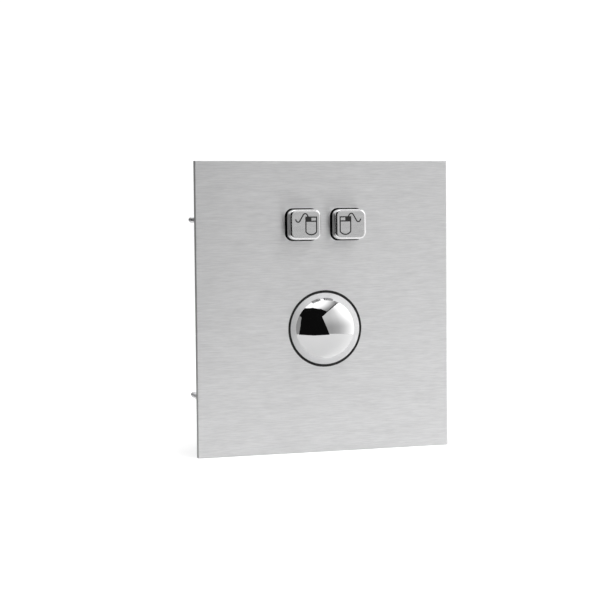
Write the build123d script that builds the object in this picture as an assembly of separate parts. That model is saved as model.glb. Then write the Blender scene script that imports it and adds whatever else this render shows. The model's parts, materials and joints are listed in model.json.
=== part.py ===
"""Panel-mount trackball with two click keys: every separate piece as its own STEP file, in millimetres.

Frame: +X to the right, +Y from the front face towards the back, +Z up. The origin is the centre of the
front panel's rear face, where the panel meets the enclosure that it is bolted to. Ball-unit parts are
drawn about the ball's centre line and key parts about the middle of the key pair, then put in place.
"""

from build123d import *
import math
import os

# Front panel, its gasket and the studs that bolt it to the enclosure
PANEL_W, PANEL_H, PANEL_T, PANEL_EDGE_BREAK = 126.5, 140.0, 3.0, 0.25
FRONT_Y = -PANEL_T
GASKET_T, GASKET_INSET, GASKET_BAND = 2.0, 7.0, 6.0
STUD_R, STUD_LENGTH, STUD_TIP = 1.5, 22.0, 0.4
STUD_SPAN_X, STUD_SPAN_Z = 119.0, 85.0

# Ball, the stepped opening in the panel, and the wiper ring that fills it
BALL_R, BALL_DEPTH, BALL_Z = 19.0, 7.0, -10.4
BALL_Y = FRONT_Y + BALL_DEPTH
APERTURE_R, APERTURE_LIP, COUNTERBORE_R = 18.5, 0.6, 21.0
LIP_REAR_Y = FRONT_Y + APERTURE_LIP
WIPER_NOSE_R, WIPER_OUTER_R, WIPER_RECESS, WIPER_REAR_Y = 18.42, 20.5, 0.12, -0.9
WIPER_CLEARANCE = 0.12

# Ball unit: front housing and bearing chassis, clamped together on four studs
UNIT_SIDE, UNIT_CORNER, SEAL_T = 60.0, 6.0, 0.8
SPLIT_Y, CHASSIS_FLANGE_T, CHASSIS_REAR_Y = 11.0, 3.0, 29.0
UNIT_STUD_OFFSET, UNIT_STUD_LENGTH, STUD_CLEARANCE = 26.0, 19.5, 0.2
HOUSING_COLLAR_R, HOUSING_BALL_GAP, CHASSIS_BALL_GAP = 20.7, 0.4, 0.5
POCKET_LENGTH, POCKET_DEPTH, POCKET_MARGIN = 22.0, 1.6, 2.2
CHASSIS_SIDE, CHASSIS_CUT, CHASSIS_WALL = 56.0, 10.0, 2.0
BOSS_OFFSET, BOSS_R, BOSS_HOLE_R, BOSS_HOLE_DEPTH = 24.5, 3.0, 1.3, 10.0

# Rollers that the ball turns, one beside it and one below, and their shafts
CONTACT_ANGLE = math.radians(40.0)
CONTACT_GAP = 0.05
ROLLER_R, ROLLER_LENGTH, ROLLER_END = 3.0, 12.0, 0.3
ROLLER_ARM = BALL_R + ROLLER_R + CONTACT_GAP
ROLLER_OFFSET = ROLLER_ARM * math.cos(CONTACT_ANGLE)
ROLLER_Y = BALL_Y + ROLLER_ARM * math.sin(CONTACT_ANGLE)
SHAFT_R, SHAFT_LOW, SHAFT_HIGH, SHAFT_END = 1.5, -12.5, 19.0, 0.2
BEARING_OFFSETS = (-10.0, 10.0)
RIB_X, RIB_Y = (12.5, 27.0), (14.5, 23.0)

# Miniature ball bearings: bore, outer radius, width, ball radius, ball circle, the two lands, ball count
SHAFT_BEARING = dict(bore=1.5, outer=3.0, width=2.5, ball=0.5, circle=2.25, lands=(1.95, 2.55), count=8)
IDLER_BEARING = dict(bore=1.5, outer=4.0, width=4.0, ball=0.65, circle=2.7, lands=(2.25, 3.15), count=9)
RACE_CLEARANCE = 0.03

# Idler that holds the ball against the rollers, measured from its pin, away from the ball
IDLER_PLATE, IDLER_HALF_W, IDLER_CHEEK, IDLER_NOSE = (6.0, 6.8), 3.5, (2.3, 3.1), 2.2
IDLER_SEAT_LENGTH, IDLER_SEAT_HALF_W = 10.0, 5.0

# Encoder discs and the slotted sensors that read them
DISC_R, DISC_T, DISC_OFFSET, DISC_SLOTS = 6.5, 0.4, 16.75, 24
SLOT_INNER_R, SLOT_OUTER_R, SLOT_W = 4.3, 6.0, 0.6
HUB_R, HUB_LENGTH = 2.5, 2.0
SENSOR_W, SENSOR_LENGTH, SENSOR_GAP = 6.0, 10.0, 3.0
SENSOR_FRONT_Y, SENSOR_SLOT_Y = 21.2, 26.2

# Main board and what is soldered to its rear face
BOARD_T, BOARD_MARGIN = 1.6, 0.5
BOARD_REAR_Y = CHASSIS_REAR_Y + BOARD_T
SCREW_HEAD_R, SCREW_HEAD_T, SCREW_R, SCREW_LENGTH = 2.4, 1.7, 1.2, 9.0
CHIP_X, CHIP_W, CHIP_H, CHIP_T = 2.0, 12.8, 7.4, 2.5
LEADS_PER_SIDE, LEAD_PITCH, LEAD_W, LEAD_T, LEAD_TIP_Z = 10, 1.27, 0.4, 0.25, 5.2
CRYSTAL_X, CRYSTAL_Z, CRYSTAL_W, CRYSTAL_H, CRYSTAL_T = -13.5, -2.5, 11.4, 4.9, 3.6
CAPACITOR_R, CAPACITOR_T, CAPACITOR_PLACES = 2.5, 6.0, ((-18.5, 8.5), (-12.5, 8.5))
RESISTOR_W, RESISTOR_H, RESISTOR_T, RESISTOR_PITCH = 1.3, 2.1, 0.6, 3.1
RESISTOR_ROWS = ((-9.0, 7), (9.6, 5))
HEADER_W, HEADER_H, HEADER_WALL, HEADER_DEPTH, HEADER_Z = 15.4, 7.2, 1.2, 9.0, -17.2
HEADER_FLOOR, HEADER_NOTCH_W, HEADER_NOTCH_Y = 1.6, 4.4, 4.0
PIN_COUNT, PIN_PITCH, PIN_SIDE, PIN_RECESS = 5, 2.5, 0.64, 1.2

# Click keys: the pair's height, then one cap, its plunger and its dome
KEY_X, KEY_Z = 11.3, 39.7
CAP_W, CAP_H, CAP_CORNER, CAP_RISE, CAP_FILLET = 15.6, 14.4, 3.2, 6.5, 1.2
CAP_GAP, CAP_WALL, POCKET_CORNER = 0.6, 2.0, 1.2
CAP_FRONT_Y = FRONT_Y - CAP_RISE
CAP_FLANGE, CAP_FLANGE_FRONT_Y, CAP_FLANGE_REAR_Y, FLANGE_CLEARANCE = 2.0, 0.15, 1.15, 0.3
INSERT_GAP_SIDE, INSERT_GAP_FRONT = 0.05, 0.1
LEGEND_DEPTH, LEGEND_STROKE = 0.3, 0.6
STEM_R, STEM_CLEARANCE, STEM_REAR_Y, STEM_END = 4.0, 0.08, 7.2, 0.3
DOME_ROOF_R, DOME_WAIST_R, DOME_SKIRT_R, DOME_FOOT_R, DOME_CHAMBER_R = 3.3, 4.0, 6.2, 7.6, 8.2
DOME_ROOF_T, DOME_WALL_T, DOME_FOOT_T = 1.7, 0.5, 1.0
PILL_R, PILL_T = 2.2, 1.25

# Key unit: housing, board and stiffener, clamped on four studs
KEY_UNIT_W, KEY_UNIT_H, KEY_UNIT_CORNER = 55.0, 26.0, 4.0
GUIDE_FRONT_Y, GUIDE_REAR_Y, KEY_BOARD_Y = 3.4, 6.4, 12.0
KEY_STUD_R, KEY_STUD_X, KEY_STUD_Z, KEY_STUD_LENGTH = 1.25, 24.5, 9.5, 19.5
KEY_PLATE_T, WINDOW_MARGIN = 1.0, 0.7

# Ribbon between the two boards, in the object's own frame
RIBBON_W, RIBBON_T, RIBBON_Y = 12.7, 1.0, 33.2
RIBBON_TOP_Z, RIBBON_BOTTOM_Z = KEY_Z - 8.0, BALL_Z + 21.5
CONNECTOR_W, CONNECTOR_T, CONNECTOR_LENGTH, CONNECTOR_EDGE = 15.6, 5.0, 6.0, 0.3

UNIT_PLACE = Pos(0, 0, BALL_Z)
KEYS_PLACE = Pos(0, 0, KEY_Z)
BALL_CENTRE = Pos(0, BALL_Y, 0)


# Shared shapes


def slab(outline, front, rear):
    """An outline drawn in X and Z, as a solid between two Y planes."""
    return extrude(Plane.XZ.offset(-rear) * outline, amount=rear - front)


def disc(radius, front, rear, x=0.0, z=0.0):
    """A round solid about an axis along Y."""
    return slab(Pos(x, z) * Circle(radius), front, rear)


def block(x, y, z):
    """A box from its three (low, high) spans."""
    spans = (x, y, z)
    size = [high - low for low, high in spans]
    middle = [(low + high) / 2 for low, high in spans]
    return Pos(*middle) * Box(*size)


def about(middle, size):
    """The span of a size about its middle."""
    return (middle - size / 2, middle + size / 2)


def row(count, pitch):
    """Evenly spaced places about zero."""
    return [(n - (count - 1) / 2) * pitch for n in range(count)]


def corners(offset_x, offset_z):
    return [(x, z) for x in (-offset_x, offset_x) for z in (-offset_z, offset_z)]


def studs(radius, length, places):
    """Weld studs standing on the panel's rear face, with chamfered tips."""
    rods = [disc(radius, 0, length, x, z) for x, z in places]
    return Compound([chamfer(rod.edges().sort_by(Axis.Y)[-1], STUD_TIP) for rod in rods])


def washers(radius, bore, front, thickness, places):
    outline = Circle(radius) - Circle(bore)
    return Compound([slab(Pos(x, z) * outline, front, front + thickness) for x, z in places])


def hex_nuts(across_flats, bore, front, thickness, places):
    """Hexagon nuts along Y, with the corners of both faces turned off."""
    corner_r, rear = across_flats / math.sqrt(3), front + thickness
    turned = disc(corner_r, front, rear)
    turned = chamfer(turned.edges().filter_by(GeomType.CIRCLE), 0.35)
    nut = (slab(RegularPolygon(corner_r, 6), front, rear) & turned) - disc(bore, front, rear)
    return Compound([Pos(x, 0, z) * nut for x, z in places])


# Front panel, gasket and fixings


def front_panel():
    """Stainless plate with a stepped ball opening and two key openings."""
    plate = slab(Rectangle(PANEL_W, PANEL_H), FRONT_Y, 0)
    plate = chamfer(plate.faces().sort_by(Axis.Y)[0].edges(), PANEL_EDGE_BREAK)
    plate -= disc(APERTURE_R, FRONT_Y, 0, 0, BALL_Z)
    plate -= disc(COUNTERBORE_R, LIP_REAR_Y, 0, 0, BALL_Z)
    opening = RectangleRounded(CAP_W + 2 * CAP_GAP, CAP_H + 2 * CAP_GAP, CAP_CORNER + CAP_GAP)
    for x in (-KEY_X, KEY_X):
        plate -= slab(Pos(x, KEY_Z) * opening, FRONT_Y, 0)
    return plate


def panel_gasket():
    """Flat foam frame inside the row of panel studs."""
    width, height = PANEL_W - 2 * GASKET_INSET, PANEL_H - 2 * GASKET_INSET
    outer = RectangleRounded(width, height, GASKET_BAND)
    inner = RectangleRounded(width - 2 * GASKET_BAND, height - 2 * GASKET_BAND, GASKET_BAND / 2)
    return slab(outer - inner, 0, GASKET_T)


def panel_parts():
    return {
        "front_panel": front_panel(),
        "panel_gasket": panel_gasket(),
        "panel_studs": studs(STUD_R, STUD_LENGTH, corners(STUD_SPAN_X / 2, STUD_SPAN_Z / 2)),
    }


# Ball, wiper and the ball unit's two shells


def wiper_ring():
    """L-section ring: its nose fills the panel's opening, its flange sits in the counterbore."""
    nose = disc(WIPER_NOSE_R, FRONT_Y + WIPER_RECESS, LIP_REAR_Y)
    flange = disc(WIPER_OUTER_R, LIP_REAR_Y, WIPER_REAR_Y)
    return nose + flange - BALL_CENTRE * Sphere(BALL_R + WIPER_CLEARANCE)


def unit_outline():
    """Rounded square of the seal, the housing and the chassis flange, with the four stud holes."""
    outline = RectangleRounded(UNIT_SIDE, UNIT_SIDE, UNIT_CORNER)
    for x, z in unit_stud_places():
        outline -= Pos(x, z) * Circle(STUD_R + STUD_CLEARANCE)
    return outline


def unit_stud_places():
    return corners(UNIT_STUD_OFFSET, UNIT_STUD_OFFSET)


def unit_seal():
    """Thin rubber gasket between the panel and the ball housing."""
    return slab(unit_outline() - Circle(COUNTERBORE_R), 0, SEAL_T)


def ball_housing():
    """Front shell: a collar in the panel's counterbore, a spherical seat and a pocket in each side."""
    shell = slab(unit_outline(), SEAL_T, SPLIT_Y) + disc(HOUSING_COLLAR_R, WIPER_REAR_Y, SEAL_T)
    pocket = block(
        about(0, POCKET_LENGTH),
        (SEAL_T + POCKET_MARGIN, SPLIT_Y - POCKET_MARGIN),
        about(UNIT_SIDE / 2, 2 * POCKET_DEPTH),
    )
    for quarter in range(4):
        shell -= Rot(0, 90 * quarter, 0) * pocket
    shell -= BALL_CENTRE * Sphere(BALL_R + HOUSING_BALL_GAP)
    return shell - disc(BALL_R + HOUSING_BALL_GAP, BALL_Y, SPLIT_Y)


def chassis_outline(inset=0.0):
    """Square with its corners cut, so that the unit's nuts clear it."""
    octagon = chamfer(Rectangle(CHASSIS_SIDE, CHASSIS_SIDE).vertices(), CHASSIS_CUT)
    return offset(octagon, -inset) if inset else octagon


def boss_places():
    return [(BOSS_OFFSET, 0), (-BOSS_OFFSET, 0), (0, BOSS_OFFSET), (0, -BOSS_OFFSET)]


def bearing_rib(middle):
    """Rib across the upright shaft, bored for a bearing."""
    rib = block(RIB_X, RIB_Y, about(middle, SHAFT_BEARING["width"]))
    return rib - Pos(ROLLER_OFFSET, ROLLER_Y, middle) * Cylinder(SHAFT_BEARING["outer"], RIB_Y[1])


def bearing_chassis():
    """Rear shell: flange, walls, four bearing ribs, screw bosses and the idler's inclined seat."""
    flange_rear = SPLIT_Y + CHASSIS_FLANGE_T
    chassis = slab(unit_outline(), SPLIT_Y, flange_rear) + slab(chassis_outline(), SPLIT_Y, CHASSIS_REAR_Y)
    chassis -= slab(chassis_outline(CHASSIS_WALL), SPLIT_Y, CHASSIS_REAR_Y)
    for middle in BEARING_OFFSETS:
        rib = bearing_rib(middle)
        chassis += rib + to_second_axis(rib)
    for x, z in boss_places():
        chassis += disc(BOSS_R, flange_rear, CHASSIS_REAR_Y, x, z)
    chassis += idler_seat()
    for x, z in boss_places():
        chassis -= disc(BOSS_HOLE_R, CHASSIS_REAR_Y - BOSS_HOLE_DEPTH, CHASSIS_REAR_Y, x, z)
    return chassis - BALL_CENTRE * Sphere(BALL_R + CHASSIS_BALL_GAP)


def unit_fixings():
    """Studs welded to the panel, with a washer and a nut on each."""
    places = unit_stud_places()
    seat = SPLIT_Y + CHASSIS_FLANGE_T
    return {
        "unit_studs": studs(STUD_R, UNIT_STUD_LENGTH, places),
        "unit_washers": washers(3.4, 1.6, seat, 0.5, places),
        "unit_nuts": hex_nuts(5.5, 1.55, seat + 0.5, 2.4, places),
    }


# Bearings, rollers and encoders, about an upright shaft through the origin


def ring(outer, inner, width, middle=0.0):
    return Pos(0, 0, middle) * (Cylinder(outer, width) - Cylinder(inner, width))


def race_groove(bearing, middle):
    return Pos(0, 0, middle) * Torus(bearing["circle"], bearing["ball"] + RACE_CLEARANCE)


def inner_race(bearing, middle=0.0):
    race = ring(bearing["lands"][0], bearing["bore"], bearing["width"], middle)
    return race - race_groove(bearing, middle)


def outer_race(bearing, middle=0.0):
    race = ring(bearing["outer"], bearing["lands"][1], bearing["width"], middle)
    return race - race_groove(bearing, middle)


def race_balls(bearing, middle=0.0):
    places = PolarLocations(bearing["circle"], bearing["count"])
    return [Pos(0, 0, middle) * place * Sphere(bearing["ball"]) for place in places]


def roller():
    """Sleeve on the shaft, with its outer edges rounded."""
    sleeve = ring(ROLLER_R, SHAFT_R, ROLLER_LENGTH)
    rims = [edge for edge in sleeve.edges().filter_by(GeomType.CIRCLE) if edge.radius > SHAFT_R + 0.1]
    return fillet(rims, ROLLER_END)


def encoder_disc():
    """Thin slotted disc on a hub."""
    wheel = Pos(0, 0, DISC_OFFSET) * Cylinder(DISC_R, DISC_T)
    wheel += Pos(0, 0, DISC_OFFSET - (DISC_T + HUB_LENGTH) / 2) * Cylinder(HUB_R, HUB_LENGTH)
    slot = Box(SLOT_OUTER_R - SLOT_INNER_R, SLOT_W, 2 * DISC_T)
    for place in PolarLocations((SLOT_INNER_R + SLOT_OUTER_R) / 2, DISC_SLOTS):
        wheel -= Pos(0, 0, DISC_OFFSET) * place * slot
    return wheel - Cylinder(SHAFT_R, 4 * DISC_OFFSET)


def shaft_train():
    """Everything on one shaft, with the bearings' outer rings."""
    shaft = Pos(0, 0, (SHAFT_LOW + SHAFT_HIGH) / 2) * Cylinder(SHAFT_R, SHAFT_HIGH - SHAFT_LOW)
    balls = [ball for middle in BEARING_OFFSETS for ball in race_balls(SHAFT_BEARING, middle)]
    return {
        "shaft": chamfer(shaft.edges().filter_by(GeomType.CIRCLE), SHAFT_END),
        "roller": roller(),
        "encoder_disc": encoder_disc(),
        "bearing_inner_rings": Compound([inner_race(SHAFT_BEARING, z) for z in BEARING_OFFSETS]),
        "bearing_outer_rings": Compound([outer_race(SHAFT_BEARING, z) for z in BEARING_OFFSETS]),
        "bearing_balls": Compound(balls),
    }


def slotted_sensor():
    """U-shaped optical sensor on the main board, reading the upright shaft's disc."""
    x = about(ROLLER_OFFSET, SENSOR_W)
    body = block(x, (SENSOR_FRONT_Y, CHASSIS_REAR_Y), about(DISC_OFFSET, SENSOR_LENGTH))
    return body - block(x, (SENSOR_FRONT_Y, SENSOR_SLOT_Y), about(DISC_OFFSET, SENSOR_GAP))


def to_second_axis(shape):
    """Mirrors what belongs to the upright shaft, beside the ball, into the level shaft's, below it."""
    return mirror(shape, Plane(origin=(0, 0, 0), z_dir=(1, 0, 1)))


def encoder_parts():
    """Both shafts in place, with their sensors."""
    train = {name: Pos(ROLLER_OFFSET, ROLLER_Y, 0) * shape for name, shape in shaft_train().items()}
    train["sensor"] = slotted_sensor()
    upright = {f"x_{name}": shape for name, shape in train.items()}
    level = {f"y_{name}": to_second_axis(shape) for name, shape in train.items()}
    return {**upright, **level}


# Idler, drawn about its pin: local X points away from the ball, local Z along the pin


def idler_plane():
    across, back = math.cos(CONTACT_ANGLE) / math.sqrt(2), math.sin(CONTACT_ANGLE)
    away = Vector(-across, back, across)
    centre = Vector(0, BALL_Y, 0) + away * (BALL_R + IDLER_BEARING["outer"] + CONTACT_GAP)
    return Plane(origin=centre, x_dir=away, z_dir=Vector(1, 0, 1))


def idler_seat():
    """Block on the chassis wall that the idler's bracket is fixed to."""
    side = (-IDLER_SEAT_HALF_W, IDLER_SEAT_HALF_W)
    seat = block((IDLER_PLATE[1], IDLER_PLATE[1] + IDLER_SEAT_LENGTH), side, side)
    return idler_plane() * seat & slab(chassis_outline(CHASSIS_WALL / 2), SPLIT_Y, CHASSIS_REAR_Y)


def idler_parts():
    """Bearing that rolls on the ball, its pin and the bent spring bracket that carries it."""
    inside, outside = IDLER_CHEEK
    width = (-IDLER_HALF_W, IDLER_HALF_W)
    bracket = block(IDLER_PLATE, width, (-outside, outside))
    bracket += block((-IDLER_NOSE, IDLER_PLATE[0]), width, (-outside, -inside))
    bracket += block((-IDLER_NOSE, IDLER_PLATE[0]), width, (inside, outside))
    bracket -= Cylinder(SHAFT_R, 4 * outside)
    pin = Cylinder(SHAFT_R, 2 * outside + 1.4)
    shapes = {
        "idler_bracket": bracket,
        "idler_pin": chamfer(pin.edges().filter_by(GeomType.CIRCLE), SHAFT_END),
        "idler_inner_ring": inner_race(IDLER_BEARING),
        "idler_outer_ring": outer_race(IDLER_BEARING),
        "idler_balls": Compound(race_balls(IDLER_BEARING)),
    }
    return {name: idler_plane() * shape for name, shape in shapes.items()}


# Main board


def main_board():
    board = slab(chassis_outline(BOARD_MARGIN), CHASSIS_REAR_Y, BOARD_REAR_Y)
    for x, z in boss_places():
        board -= disc(BOSS_HOLE_R + 0.1, CHASSIS_REAR_Y, BOARD_REAR_Y, x, z)
    return board


def board_screws():
    """Pan-head screws with a cross recess."""
    head = disc(SCREW_HEAD_R, BOARD_REAR_Y, BOARD_REAR_Y + SCREW_HEAD_T)
    head = fillet(head.edges().sort_by(Axis.Y)[-1], 0.9)
    screw = head + disc(SCREW_R, BOARD_REAR_Y - SCREW_LENGTH, BOARD_REAR_Y)
    cross = Rectangle(SCREW_HEAD_R, 0.5) + Rectangle(0.5, SCREW_HEAD_R)
    screw -= slab(cross, BOARD_REAR_Y + SCREW_HEAD_T / 2, BOARD_REAR_Y + SCREW_HEAD_T)
    return Compound([Pos(x, 0, z) * screw for x, z in boss_places()])


def controller_chip():
    """Small-outline controller with a row of gull-wing leads on each side."""
    body = block(about(0, CHIP_W), (BOARD_REAR_Y + 0.15, BOARD_REAR_Y + CHIP_T), about(0, CHIP_H))
    chip = chamfer(body.edges(), 0.25)
    root, knee = CHIP_H / 2 - 0.2, CHIP_H / 2 + 0.5
    for x in row(LEADS_PER_SIDE, LEAD_PITCH):
        for reach, height in ((LEAD_TIP_Z, LEAD_T), (knee, CHIP_T / 2)):
            y = (BOARD_REAR_Y, BOARD_REAR_Y + height)
            chip += block(about(x, LEAD_W), y, (root, reach))
            chip += block(about(x, LEAD_W), y, (-reach, -root))
    return Pos(CHIP_X, 0, 0) * chip


def crystal():
    """Metal-can crystal on a thin flange."""
    flange_rear = BOARD_REAR_Y + 0.5
    can = slab(SlotOverall(CRYSTAL_W - 1, CRYSTAL_H - 1), flange_rear, BOARD_REAR_Y + CRYSTAL_T)
    can = fillet(can.faces().sort_by(Axis.Y)[-1].edges(), 0.5)
    can += slab(SlotOverall(CRYSTAL_W, CRYSTAL_H), BOARD_REAR_Y, flange_rear)
    return Pos(CRYSTAL_X, 0, CRYSTAL_Z) * can


def capacitors():
    """Upright electrolytic cans with a rolled groove near the base."""
    can = disc(CAPACITOR_R, BOARD_REAR_Y, BOARD_REAR_Y + CAPACITOR_T)
    can = fillet(can.edges().sort_by(Axis.Y)[-1], 0.4)
    can -= Pos(0, BOARD_REAR_Y + 1.4, 0) * Rot(90, 0, 0) * Torus(CAPACITOR_R + 0.25, 0.5)
    return Compound([Pos(x, 0, z) * can for x, z in CAPACITOR_PLACES])


def resistors():
    """Surface-mount resistors in a row on each side of the controller."""
    y = (BOARD_REAR_Y, BOARD_REAR_Y + RESISTOR_T)
    chips = []
    for z, count in RESISTOR_ROWS:
        for x in row(count, RESISTOR_PITCH):
            chips.append(block(about(CHIP_X + x, RESISTOR_W), y, about(z, RESISTOR_H)))
    return Compound(chips)


def cable_header():
    """Shrouded socket that the host cable's plug pushes into from behind, with a polarising notch."""
    rear = BOARD_REAR_Y + HEADER_DEPTH
    inside_w, inside_h = HEADER_W - 2 * HEADER_WALL, HEADER_H - 2 * HEADER_WALL
    shroud = slab(RectangleRounded(HEADER_W, HEADER_H, HEADER_WALL / 2), BOARD_REAR_Y, rear)
    shroud -= slab(Rectangle(inside_w, inside_h), BOARD_REAR_Y + HEADER_FLOOR, rear)
    shroud -= block(about(0, HEADER_NOTCH_W), (BOARD_REAR_Y + HEADER_NOTCH_Y, rear), (0, HEADER_H))
    return Pos(0, 0, HEADER_Z) * shroud


def header_pins():
    y = (BOARD_REAR_Y + HEADER_FLOOR, BOARD_REAR_Y + HEADER_DEPTH - PIN_RECESS)
    z = about(HEADER_Z, PIN_SIDE)
    return Compound([block(about(x, PIN_SIDE), y, z) for x in row(PIN_COUNT, PIN_PITCH)])


def ball_unit_parts():
    parts = {
        "ball": BALL_CENTRE * Sphere(BALL_R),
        "wiper_ring": wiper_ring(),
        "unit_seal": unit_seal(),
        "ball_housing": ball_housing(),
        "bearing_chassis": bearing_chassis(),
        "main_board": main_board(),
        "board_screws": board_screws(),
        "controller_chip": controller_chip(),
        "crystal": crystal(),
        "capacitors": capacitors(),
        "resistors": resistors(),
        "cable_header": cable_header(),
        "header_pins": header_pins(),
    }
    return {**parts, **unit_fixings(), **encoder_parts(), **idler_parts()}


# Click keys, each drawn about its own axis


def mouse_pictogram():
    """Outline of a mouse with its left button filled and its lead running off to the left."""
    middle, half_w, top, button_line, shoulder, bottom = 2.75, 2.65, 3.55, 1.6, -3.4, -4.8
    left, right = middle - half_w, middle + half_w
    sides = Polyline((left, shoulder), (left, top), (right, top), (right, shoulder))
    belly = ThreePointArc((left, shoulder), (middle, bottom), (right, shoulder))
    lead = FilletPolyline((-5.05, 2.6), (-3.8, 0.2), (-0.2, 6.3), (1.35, top), radius=[0.95, 1.1])
    sketch = Pos((left + middle) / 2, (top + button_line) / 2) * Rectangle(half_w + 0.2, top - button_line)
    for stroke in (sides, belly, lead, Line((left, button_line), (right, button_line))):
        sketch += trace(stroke, LEGEND_STROKE)
    return sketch


def legend(side):
    """The pictogram's paint-filled engraving; the right key's is the mirror image."""
    outline = mouse_pictogram() if side < 0 else mirror(mouse_pictogram(), Plane.YZ)
    return slab(outline, CAP_FRONT_Y, CAP_FRONT_Y + LEGEND_DEPTH)


def cap_pocket(inset=0.0):
    reduction = 2 * (CAP_WALL + inset)
    return RectangleRounded(CAP_W - reduction, CAP_H - reduction, POCKET_CORNER)


def flange_outline(clearance=0.0):
    growth = 2 * (CAP_FLANGE + clearance)
    return RectangleRounded(CAP_W + growth, CAP_H + growth, CAP_CORNER)


def keycap(side):
    """Stainless cap with rounded front edges, hollow from behind, held in by a rear flange."""
    cap = slab(RectangleRounded(CAP_W, CAP_H, CAP_CORNER), CAP_FRONT_Y, CAP_FLANGE_REAR_Y)
    cap = fillet(cap.faces().sort_by(Axis.Y)[0].edges(), CAP_FILLET)
    cap += slab(flange_outline(), CAP_FLANGE_FRONT_Y, CAP_FLANGE_REAR_Y)
    cap -= slab(cap_pocket(), CAP_FRONT_Y + CAP_WALL, CAP_FLANGE_REAR_Y)
    return cap - legend(side)


def plunger():
    """Acetal insert pressed into the cap, with a round stem that runs in the housing's guide."""
    insert = slab(cap_pocket(INSERT_GAP_SIDE), CAP_FRONT_Y + CAP_WALL + INSERT_GAP_FRONT, CAP_FLANGE_REAR_Y)
    stem = disc(STEM_R, CAP_FLANGE_REAR_Y, STEM_REAR_Y)
    return insert + chamfer(stem.edges().sort_by(Axis.Y)[-1], STEM_END)


def rubber_dome():
    """Silicone dome that returns the key, standing on the key board with its thin skirt sloping out."""
    roof_rear, foot_front = STEM_REAR_Y + DOME_ROOF_T, KEY_BOARD_Y - DOME_FOOT_T
    outline = Polyline(
        (0, STEM_REAR_Y),
        (DOME_ROOF_R, STEM_REAR_Y),
        (DOME_WAIST_R, STEM_REAR_Y + 0.7),
        (DOME_SKIRT_R, foot_front),
        (DOME_FOOT_R, foot_front),
        (DOME_FOOT_R, KEY_BOARD_Y),
        (DOME_SKIRT_R - DOME_WALL_T / 2, KEY_BOARD_Y),
        (DOME_SKIRT_R - DOME_WALL_T, foot_front + DOME_WALL_T),
        (DOME_WAIST_R - DOME_WALL_T, roof_rear),
        (0, roof_rear),
        close=True,
    )
    return revolve(make_face(outline), Axis.Y)


def contact_pill():
    roof_rear = STEM_REAR_Y + DOME_ROOF_T
    return disc(PILL_R, roof_rear, roof_rear + PILL_T)


def one_key(label, side):
    shapes = {
        "keycap": keycap(side),
        "key_legend": legend(side),
        "key_plunger": plunger(),
        "key_dome": rubber_dome(),
        "key_pill": contact_pill(),
    }
    return {f"{label}_{name}": Pos(side * KEY_X, 0, 0) * shape for name, shape in shapes.items()}


# Key unit


def key_stud_places():
    return corners(KEY_STUD_X, KEY_STUD_Z)


def key_unit_outline(inset=0.0):
    """Rounded rectangle with the four stud holes."""
    outline = RectangleRounded(KEY_UNIT_W - 2 * inset, KEY_UNIT_H - 2 * inset, KEY_UNIT_CORNER - inset)
    for x, z in key_stud_places():
        outline -= Pos(x, z) * Circle(KEY_STUD_R + STUD_CLEARANCE)
    return outline


def key_seal():
    """Thin rubber gasket between the panel and the key housing."""
    outline = key_unit_outline()
    for x in (-KEY_X, KEY_X):
        outline -= Pos(x, 0) * flange_outline(FLANGE_CLEARANCE)
    return slab(outline, 0, SEAL_T)


def key_housing():
    """Moulded frame: a pocket for each cap's flange, a guide for each stem, a chamber for each dome."""
    frame = slab(key_unit_outline(), SEAL_T, KEY_BOARD_Y)
    for x in (-KEY_X, KEY_X):
        frame -= slab(Pos(x, 0) * flange_outline(FLANGE_CLEARANCE), SEAL_T, GUIDE_FRONT_Y)
        frame -= disc(STEM_R + STEM_CLEARANCE, GUIDE_FRONT_Y, GUIDE_REAR_Y, x)
        frame -= disc(DOME_CHAMBER_R, GUIDE_REAR_Y, KEY_BOARD_Y, x)
    return frame


def key_backplate():
    """Steel stiffener behind the key board, with a window for the ribbon connector."""
    margin = 2 * WINDOW_MARGIN
    window = RectangleRounded(CONNECTOR_W + margin, CONNECTOR_T + margin, WINDOW_MARGIN)
    outline = key_unit_outline() - Pos(0, RIBBON_TOP_Z - KEY_Z) * window
    front = KEY_BOARD_Y + BOARD_T
    return slab(outline, front, front + KEY_PLATE_T)


def key_fixings():
    places = key_stud_places()
    seat = KEY_BOARD_Y + BOARD_T + KEY_PLATE_T
    return {
        "key_studs": studs(KEY_STUD_R, KEY_STUD_LENGTH, places),
        "key_washers": washers(2.9, 1.35, seat, 0.5, places),
        "key_nuts": hex_nuts(5.0, 1.3, seat + 0.5, 2.0, places),
    }


def key_unit_parts():
    parts = {
        "key_seal": key_seal(),
        "key_housing": key_housing(),
        "key_board": slab(key_unit_outline(BOARD_MARGIN), KEY_BOARD_Y, KEY_BOARD_Y + BOARD_T),
        "key_backplate": key_backplate(),
    }
    return {**parts, **key_fixings(), **one_key("left", -1), **one_key("right", 1)}


# Ribbon between the boards


def ribbon_cable():
    """Flat ribbon: back from the key board's connector, then down to the main board's."""
    start_y = KEY_BOARD_Y + BOARD_T + CONNECTOR_LENGTH
    bend_r = 0.45 * (RIBBON_Y - start_y)
    points = [(0, start_y, RIBBON_TOP_Z), (0, RIBBON_Y, RIBBON_TOP_Z), (0, RIBBON_Y, RIBBON_BOTTOM_Z)]
    path = FilletPolyline(*points, radius=bend_r)
    section = Plane(origin=path @ 0, x_dir=(1, 0, 0), z_dir=path % 0) * Rectangle(RIBBON_W, RIBBON_T)
    cable = sweep(section, path=path)
    print(f"ribbon bend radius {bend_r:.2f}, volume {cable.volume:.1f}")
    print(f"ribbon section times length {RIBBON_W * RIBBON_T * path.length:.1f}")
    return cable


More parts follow.
